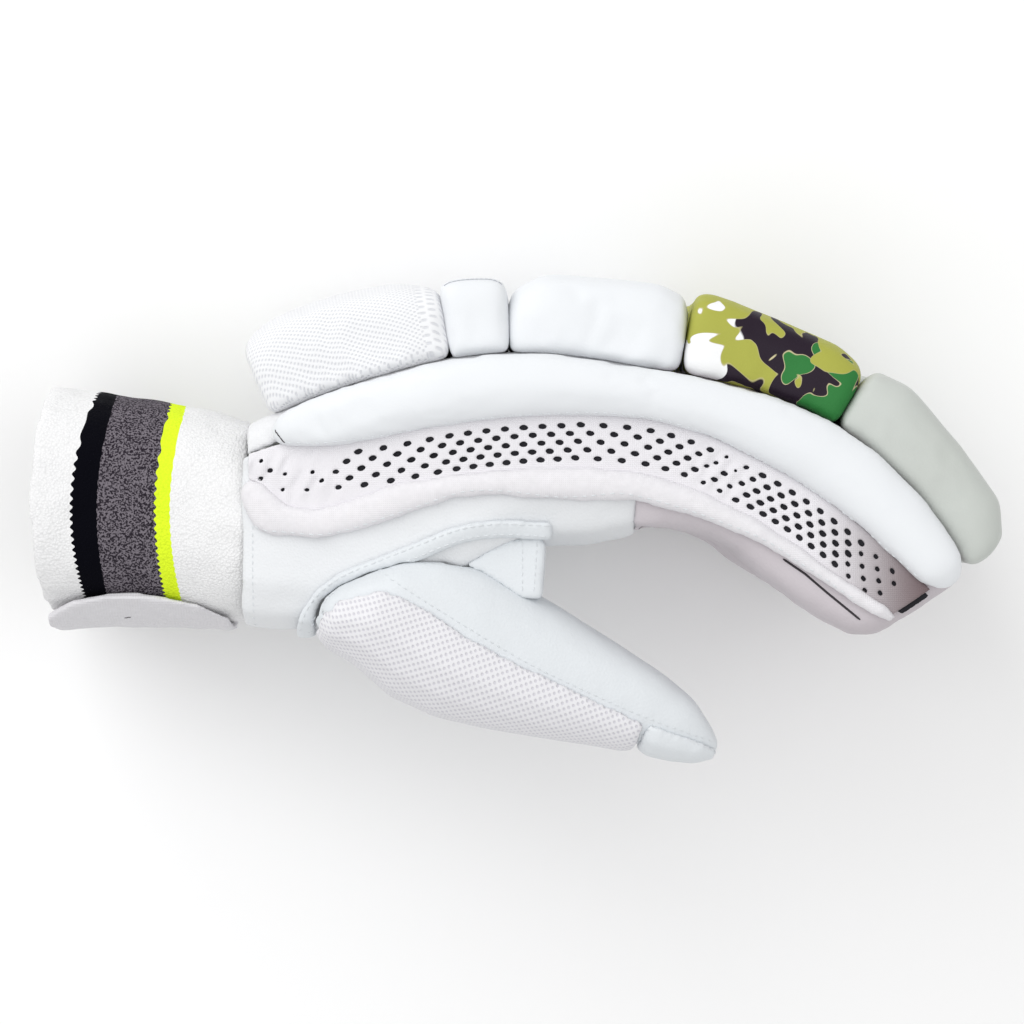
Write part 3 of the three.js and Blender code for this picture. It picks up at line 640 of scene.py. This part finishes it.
def table_value(rows, at, column):
    """A column of a table at a position, on a smooth curve through its rows."""
    i = 0
    while i < len(rows) - 2 and rows[i + 1][0] < at:
        i += 1
    a, b = rows[i], rows[i + 1]
    before, after = rows[max(i - 1, 0)], rows[min(i + 2, len(rows) - 1)]
    span = b[0] - a[0]
    f = min(max((at - a[0]) / span, 0), 1)
    m = (b[column] - before[column]) / (b[0] - before[0]) * span
    n = (after[column] - a[column]) / (after[0] - a[0]) * span
    return (
        (2 * f**3 - 3 * f**2 + 1) * a[column]
        + (f**3 - 2 * f**2 + f) * m
        + (3 * f**2 - 2 * f**3) * b[column]
        + (f**3 - f**2) * n
    )


def edge_depth(s, band):
    return table_value(BANDS, s / REACH, band) * HAND_DEPTH


def side_height(s):
    return SIDE_PAD + table_value(SIDE_HEIGHTS, s / REACH, 1) * HAND_WIDTH


WRIST_SMOOTH, WRIST_EASE = 23, 8  # where the wrist's rumples end, and how fast they set in
JOINT_AT, JOINT_HALF = 129, 13


def rumple(s):
    """How far the net is gathered, from 0 to 1: at the wrist end, and over the middle joint."""
    return max(min((WRIST_SMOOTH - s) / WRIST_EASE, 1), 0, 1 - abs(s - JOINT_AT) / JOINT_HALF)


def net_fold(s, depth):
    """The height of the net's wrinkles, in millimetres: crossed ripples over soft folds."""
    folds = 0.9 * noise.noise(Vector((s / 3.2 + depth / 5, depth / 4.5, 0)))
    return rumple(s) * (folds + 0.35 * math.sin(s * 1.3 + depth * 0.5))


NET_FROM, NET_TO = -2.4, 204.3
NET_TUCK = 1.1  # how far its edges run under the bolster and the border
NET_RISE = 1.3  # over the hand's side
NET_CROWN = 0.7  # how much higher its middle stands than its edges
NET_WALL = 1.0
net_bm = bmesh.new()
bmesh.ops.create_grid(net_bm, x_segments=320, y_segments=18, size=0.5)
for vert in net_bm.verts:
    s = NET_FROM + (vert.co.x + 0.5) * (NET_TO - NET_FROM)
    share = vert.co.y + 0.5
    top, bottom = edge_depth(s, BOLSTER) - NET_TUCK, edge_depth(s, MESH) + NET_TUCK
    depth = bottom + (top - bottom) * share
    rise = NET_RISE + math.sin(math.pi * share) * (NET_CROWN + net_fold(s, depth))
    vert.co = on_glove(s, -depth, side_height(s) + rise)
bmesh.ops.solidify(net_bm, geom=net_bm.faces[:], thickness=NET_WALL * MM)
bmesh.ops.recalc_face_normals(net_bm, faces=net_bm.faces)
net = meshed("pierced_net", net_bm)

HOLE_PITCH, ROW_PITCH, HOLE_LONG, HOLE_HIGH = 5.85, 2.15, 2.35, 1.35
HOLE_ROWS, HOLES_ALONG = 5, 34
FIRST_HOLE, FIRST_ROW = 1.5, 2.3  # from the wrist, and from the bolster's edge
LOWER_MARGIN, TIP_MARGIN = 0.7, 5
BARE_FROM, BARE_TO, BARE_ROWS = 7, 20, 2  # the upper rows leave out a patch by the wrist
TIP_HOLES, TIP_SIZE = 185, 0.8  # past this, the holes are smaller
noise.seed_set(7)
punch_bm = bmesh.new()
for row in range(HOLE_ROWS):
    for step in range(HOLES_ALONG):
        s = FIRST_HOLE + step * HOLE_PITCH + (HOLE_PITCH / 2 if row % 2 else 0)
        stray = noise.noise_vector(Vector((s * 0.37, row * 1.9, 4.0)))
        loose = rumple(s)
        depth = edge_depth(s, BOLSTER) + FIRST_ROW + row * ROW_PITCH + 1.1 * loose * stray.y
        bare = BARE_FROM < s < BARE_TO and row < BARE_ROWS
        if bare or depth > edge_depth(s, MESH) - LOWER_MARGIN or s > NET_TO - TIP_MARGIN:
            continue
        s += 1.8 * loose * stray.x
        size = 1 - loose * (0.1 + 0.7 * abs(stray.z)) if s < TIP_HOLES else TIP_SIZE
        centre = on_glove(s, -depth, side_height(s) + 1)
        ahead = on_glove(s + 1, -depth, side_height(s) + 1) - centre
        made = bmesh.ops.create_cone(
            punch_bm, cap_ends=True, segments=14, radius1=0.5, radius2=0.5, depth=8 * MM
        )["verts"]
        bmesh.ops.scale(punch_bm, verts=made, vec=(HOLE_LONG * size * MM, HOLE_HIGH * size * MM, 1))
        turn = math.atan2(ahead.y, ahead.x) + 0.6 * loose * stray.z
        bmesh.ops.rotate(punch_bm, verts=made, cent=(0, 0, 0), matrix=Matrix.Rotation(turn, 3, "Z"))
        bmesh.ops.translate(punch_bm, verts=made, vec=centre)
punches = meshed("punches", punch_bm)
bite = net.modifiers.new("bite", "BOOLEAN")
bite.operation = "DIFFERENCE"
bite.solver = "EXACT"
bite.object = punches
settled(net)
bpy.data.objects.remove(punches)
remeshed(net, voxel=0.36, rounds=2)

NET_WHITE, NET_TIP_SHADE = (0.80, 0.785, 0.815), (0.17, 0.12, 0.125)
TIP_SHADE_FROM, TIP_SHADE_TO = 0.074, 0.108  # painted shade: the net is coloured darker towards the fingertip
NET_CLOTH, net_tree, net_shader = finished("net_cloth", 0.85, 0.1)
net_at = wired(net_tree, "ShaderNodeTexCoord").outputs["Object"]
net_parts = wired(net_tree, "ShaderNodeSeparateXYZ", Vector=net_at)
net_tip_shade = ranged(
    net_tree, net_parts.outputs["X"], TIP_SHADE_FROM, TIP_SHADE_TO, interpolation_type="SMOOTHSTEP"
)
# Painted shade: the white net turns dark towards the fingertip.
net_tree.links.new(tinted(net_tree, net_tip_shade, NET_WHITE, NET_TIP_SHADE), net_shader.inputs["Base Color"])
woven(net_tree, net_shader, 0.5, 0.35)
shown_as(net, "gusset_mesh", NET_CLOTH)

# Border: a narrow padded strip of white cloth under the mesh, folded over a thin foam core and
# stitched down along its lower edge.
BORDER_CLOTH = cloth("border_cloth", (0.80, 0.785, 0.81), 0.5, 0.3)
border = evened("gusset_border", "mesh_border_pad", voxel=1.0, rounds=6)
rippled(border, swell=0.3, ripple=0.35, across=6)
shown_as(border, "gusset_border", BORDER_CLOTH)

# Thumb: a leather stall joined to the palm by a leather fold and a bound welt, with a foam pad
# in air mesh over its outer side and a smooth cap at its tip.
THUMB_LEATHER = leather("thumb_leather", (0.75, 0.78, 0.805), (0.70, 0.73, 0.755), 0.55, 0.3)
for node, name, voxel, rounds in (
    ("thumb_stall", "thumb_skin", 1.1, 14),
    ("thumb_web", "thumb_fold", 0.8, 8),
    ("thumb_welt", "thumb_binding", 0.6, 10),
):
    part = rippled(evened(node, name, voxel, rounds), swell=0.35, ripple=0.15, across=9)
    shown_as(part, node, THUMB_LEATHER)

THUMB_AT = (-35.23, -24.02, math.radians(-22.4))
THUMB_MIDDLE = (83.5, 4.0)  # height of its axis, and how far its section's middle lies above it
THUMB_ROUND, THUMB_TAPER = 16, 0.08  # the pad's radius at the root, and its loss along the thumb
# The second colour is the painted shade in the dimples.
THUMB_MESH = air_mesh("thumb_air_mesh", (0.79, 0.785, 0.81), (0.64, 0.63, 0.68), 0.95)
thumb_pad = rippled(evened("thumb_pad", "thumb_foam_pad", voxel=1.0, rounds=4), swell=0.6)
spots = []
for vert in thumb_pad.data.vertices:
    x, y, heading = THUMB_AT
    dx, dy = vert.co.x / MM - x, vert.co.y / MM - y
    t = dx * math.cos(heading) + dy * math.sin(heading)
    up = -dx * math.sin(heading) + dy * math.cos(heading) - THUMB_MIDDLE[1]
    around = math.atan2(vert.co.z / MM - THUMB_MIDDLE[0], up)
    spots.append((t * MM, around % (2 * math.pi) * (THUMB_ROUND - THUMB_TAPER * t) * MM))
charted(thumb_pad, spots)
shown_as(thumb_pad, "thumb_pad", THUMB_MESH)
tip_cap = rippled(evened("thumb_tip_cap", "thumb_cap", voxel=0.7, rounds=5), swell=0.5)
shown_as(tip_cap, "thumb_tip_cap", THUMB_LEATHER)

# Wrist cuff: a tube of looped cotton towelling with knitted-in bands, black, grey melange and
# neon yellow, whose edges step where the loops change colour. Its seam is tucked under the hand.
CUFF_BANDS = (
    (-0.1129, 0.95, 0.0004), (-0.1063, 0.75, 0.0001), (-0.0912, 0.75, 0.00033), (-0.0873, 0.8, 0.0001)
)  # where each band starts at mid height, how far it follows the bow, and the step of its loops
CUFF_WHITE, CUFF_BLACK, CUFF_NEON = (0.87, 0.87, 0.875), (0.0015, 0.0015, 0.004), (0.76, 0.97, 0.03)
MELANGE_DARK, MELANGE_PALE = (0.025, 0.020, 0.028), (0.19, 0.17, 0.195)
TOOTH_PITCH = 0.0023
HEIGHT_PER_Y, HEIGHT_AT_0 = -39.0, 0.413  # 0 at the cuff's upper edge in the frame, about 2 at the lower
BOW_CURVE, BOW_LEAN = 0.00487, -0.00328
CUFF_TOP, SLANT_DEPTH, SLANT = 0.098, 0.045, -0.085  # the bands run back as the tube turns down


def towelling():
    made, tree, shader = finished("cuff_towelling", 0.95, specular=0.08)
    at = wired(tree, "ShaderNodeTexCoord").outputs["Object"]
    parts = wired(tree, "ShaderNodeSeparateXYZ", Vector=at).outputs

    girth = worked(tree, "ADD", parts["Y"], parts["Z"])
    tooth = worked(tree, "SINE", worked(tree, "MULTIPLY", girth, 2 * math.pi / TOOTH_PITCH))
    height = worked(tree, "MULTIPLY_ADD", parts["Y"], HEIGHT_PER_Y, HEIGHT_AT_0)
    bow = worked(tree, "MULTIPLY", height, worked(tree, "MULTIPLY_ADD", height, BOW_CURVE, BOW_LEAN))
    below = worked(tree, "MINIMUM", worked(tree, "SUBTRACT", CUFF_TOP, parts["Z"]), SLANT_DEPTH)
    slant = worked(tree, "MULTIPLY", below, SLANT)
    fleck = wired(tree, "ShaderNodeTexNoise", Vector=at, Scale=2000.0, Detail=1.0)
    sharp = ranged(tree, fleck.outputs["Fac"], 0.44, 0.56)
    melange = tinted(tree, sharp, MELANGE_DARK, MELANGE_PALE)
    colour = CUFF_WHITE
    for (start, follow, step), shade in zip(CUFF_BANDS, (CUFF_BLACK, melange, CUFF_NEON, CUFF_WHITE)):
        edge = worked(tree, "ADD", worked(tree, "MULTIPLY_ADD", bow, follow, start), slant)
        edge = worked(tree, "MULTIPLY_ADD", tooth, step, edge)
        colour = tinted(tree, worked(tree, "GREATER_THAN", parts["X"], edge), colour, shade)
    loops = wired(tree, "ShaderNodeTexVoronoi", Vector=at, Scale=1500.0)
    pale = ranged(tree, loops.outputs["Distance"], 0.2, 0.9, 1.0, 0.72)
    shadow = wired(tree, "ShaderNodeMix", data_type="RGBA", blend_type="MULTIPLY")
    shadow.inputs[0].default_value = 0.4
    tree.links.new(colour, shadow.inputs[6])
    tree.links.new(pale, shadow.inputs[7])
    tree.links.new(shadow.outputs[2], shader.inputs["Base Color"])
    raised(tree, shader, loops.outputs["Distance"], 0.6, 0.4).invert = True
    return made


CUFF_DRAW, CUFF_DRAWN = 1.4, 4.0  # its end is drawn under the palm's edge, over this length
cuff = evened("wrist_cuff", "towelling_cuff", voxel=1.2, rounds=12)
rippled(cuff, ripple=0.45, across=9)
for vert in cuff.data.vertices:
    vert.co.x += CUFF_DRAW * MM * max(1 + (vert.co.x - SEAM_AT) / (CUFF_DRAWN * MM), 0)
shown_as(cuff, "wrist_cuff", towelling())

# Wrist strap: a tab of brushed hook-and-loop tape wrapped under the cuff, its end rounded and
# standing a little off the cuff.
STRAP_CLOTH = cloth("strap_cloth", (0.70, 0.69, 0.715), 0.7, 0.4)
strap = evened("wrist_strap", "strap_tab", voxel=0.9, rounds=12)
rippled(strap, swell=-0.3, ripple=0.35, across=10)
shown_as(strap, "wrist_strap", STRAP_CLOTH)

# Stitching: rows of short threads, each lying on the piece that it sews down. The welt and the
# thumb's fold have two rows, and the bands, the cuff's seam and the thumb's seam one each.
THREAD_LONG, THREAD_WIDE = 1.5, 0.42
THREAD_PROUD = 0.05
DROP_FROM, DROP_REACH = 0.05, 0.1  # metres over a path from which its threads are dropped
STEEPEST = 0.2  # no thread lies where the path's run is steeper than this share of it


def thread(name, colour):
    made, tree, shader = finished(name, 0.6)
    at = wired(tree, "ShaderNodeTexCoord")
    twist = wired(tree, "ShaderNodeTexWave", Vector=at.outputs["Object"], Scale=1500.0)
    dull = [c * 0.8 for c in colour]
    tree.links.new(tinted(tree, twist.outputs["Fac"], dull, colour), shader.inputs["Base Color"])
    return made


WHITE_THREAD = thread("white_thread", (0.80, 0.83, 0.85))
GREY_THREAD = thread("grey_thread", (0.50, 0.52, 0.56))
# Dark thread, also laid as a painted shadow line under the index stall.
DARK_THREAD_AND_SHADOW = thread("dark_thread_and_painted_shadow", (0.035, 0.03, 0.035))


def laid_thread(bm, at, ahead, normal, size):
    """One short thread at a place, along ahead, lying on the surface with that normal."""
    turn = Matrix((ahead, normal.cross(ahead), normal)).transposed().to_4x4()
    made = bmesh.ops.create_uvsphere(bm, u_segments=6, v_segments=5, radius=0.5)["verts"]
    upright = Matrix.Rotation(math.pi / 2, 3, "Y")
    bmesh.ops.rotate(bm, verts=made, cent=(0, 0, 0), matrix=upright)
    girth = Vector((THREAD_LONG, THREAD_WIDE, THREAD_WIDE)) * size * MM
    bmesh.ops.scale(bm, verts=made, vec=girth)
    place = Matrix.Translation(at + normal * THREAD_PROUD * MM)
    bmesh.ops.transform(bm, verts=made, matrix=place @ turn)


def sewn_row(name, path, pieces, pitch, material, size=1.0, wall=(0, 0, -1)):
    """Threads along a path of places, dropped along wall onto the pieces below."""
    trees = [
        BVHTree.FromPolygons([v.co for v in p.data.vertices], [f.vertices for f in p.data.polygons])
        for p in pieces
    ]
    wall = Vector(wall)
    row_bm = bmesh.new()
    spare = 0.0
    for a, b in zip(path, path[1:]):
        length = (b - a).length / MM
        while spare <= length:
            spot = a.lerp(b, spare / length)
            hits = [tree.ray_cast(spot - wall * DROP_FROM, wall, DROP_REACH) for tree in trees]
            hits = [hit for hit in hits if hit[0] is not None]
            if hits:
                at, normal = min(hits, key=lambda hit: hit[3])[:2]
                ahead = (b - a) - normal * (b - a).dot(normal)
                if ahead.length > STEEPEST * (b - a).length:
                    laid_thread(row_bm, at, ahead.normalized(), normal, size)
            spare += pitch
        spare -= length
    for face in row_bm.faces:
        face.smooth = True
    row = meshed(name, row_bm)
    row.data.materials.append(material)
    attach(row, "root")


def beside(path, aside):
    """The same path moved sideways in plan by millimetres."""
    moved = []
    for i, spot in enumerate(path):
        run = path[min(i + 1, len(path) - 1)] - path[max(i - 1, 0)]
        moved.append(spot + Vector((-run.y, run.x, 0)).normalized() * aside * MM)
    return moved


def rounded_path(path, rounds=3):
    """Corners cut off a path until it runs smoothly."""
    for _ in range(rounds):
        cut = [path[0]]
        for a, b in zip(path, path[1:]):
            cut += [a.lerp(b, 0.25), a.lerp(b, 0.75)]
        path = cut + [path[-1]]
    return path


WELT_PATH = (
    (0.05, 1.17), (0.055, 1.094), (0.069, 1.014), (0.09, 0.965), (0.123, 0.945), (0.165, 0.925),
    (0.208, 0.9), (0.259, 0.9), (0.324, 0.91), (0.412, 0.915),
)  # shares of the reach and of the hand's depth
LID = side_height(REACH)
welt_line = rounded_path([on_glove(at * REACH, -deep * HAND_DEPTH, LID) for at, deep in WELT_PATH])
binding = bpy.data.objects["thumb_binding"]
for name, aside in (("welt_stitches_outer", 1.35), ("welt_stitches_inner", -1.35)):
    sewn_row(name, beside(welt_line, aside), [binding], 2.1, WHITE_THREAD)


def band_line(band, inset, start, end, step=2.0):
    """A path along a band's lower edge, inset millimetres within it."""
    spots = []
    s = start
    while s < end:
        spots.append(on_glove(s, -(edge_depth(s, band) - inset), LID))
        s += step
    return spots


border_line = band_line(BORDER, inset=1.0, start=0, end=196)
sewn_row("border_stitches", border_line, [border], 2.4, WHITE_THREAD, 0.9)
bolster_line = band_line(BOLSTER, inset=0.9, start=9, end=200)
sewn_row("bolster_stitches", bolster_line, [bolster], 2.4, WHITE_THREAD, 0.8)

THUMB_SEAM = (  # along the thumb, and up from its axis
    (-3.0, 10.6), (-1.5, 10.0), (11.8, 7.5), (40.3, 2.9), (54.4, 2.2), (73.7, 1.4), (92.6, 2.2)
)


def on_thumb(t, up):
    """A place over the thumb, at the height from which threads are dropped."""
    x, y, heading = THUMB_AT
    along, above = math.cos(heading), math.sin(heading)
    return Vector(((x + t * along - up * above) * MM, (y + t * above + up * along) * MM, LID * MM))


thumb_skin = bpy.data.objects["thumb_skin"]
thumb_line = rounded_path([on_thumb(t, up) for t, up in THUMB_SEAM])
sewn_row("thumb_stitches", thumb_line, [thumb_skin, tip_cap], 2.0, WHITE_THREAD, 0.8)

fold = bpy.data.objects["thumb_fold"]
for name, at in (("fold_stitches_near", 0.352), ("fold_stitches_far", 0.386)):
    line = [on_glove(at * REACH, -deep * HAND_DEPTH, LID) for deep in (0.99, 1.24)]
    sewn_row(name, line, [fold], 1.9, WHITE_THREAD, 0.8)

SEAM_INSET = 1.6
seam_x = SEAM_AT / MM + SEAM_INSET
seam_line = [Vector((seam_x, y, LID)) * MM for y in range(-31, 18, 2)]
sewn_row("cuff_stitches", seam_line, [palm], 1.8, WHITE_THREAD, 0.75)

BLOCK_OVER, BLOCK_INSET = 24, 3.2  # over the block's top, and in from its outer side
BLOCK_DROP = (0.2, -0.97, 0)
block_top = [on_glove(s, BLOCK_OVER, SIDE_PAD + HAND_WIDTH - BLOCK_INSET) for s in (54.2, 58, 62, 66.8)]
block = bpy.data.objects["knuckle_pad_index"]
sewn_row("knuckle_stitches", block_top, [block], 1.15, GREY_THREAD, 0.9, BLOCK_DROP)

# Dark marks: a painted shadow line along the palm side of the index stall, where it overhangs the
# finger below, the tuck at the bolster's wrist end, and the bar tack on the strap.
for name, spots, onto, size in (
    # A painted shadow, laid in dark thread where the stall's palm side overhangs the finger below.
    ("stall_painted_shadow", ((70.2, -10.7), (75.0, -14.0), (80.4, -18.6), (88.6, -25.3)), "stall_skin_index", 1.5),
    ("bolster_tuck", ((-60.9, 22.6), (-58.6, 19.6)), "index_side_pad", 0.8),
    ("strap_tack", ((-101.6, -25.9), (-100.6, -25.7)), "strap_tab", 0.7),
):
    line = [Vector((x, y, LID)) * MM for x, y in spots]
    sewn_row(name, line, [bpy.data.objects[onto]], 0.8, DARK_THREAD_AND_SHADOW, size)
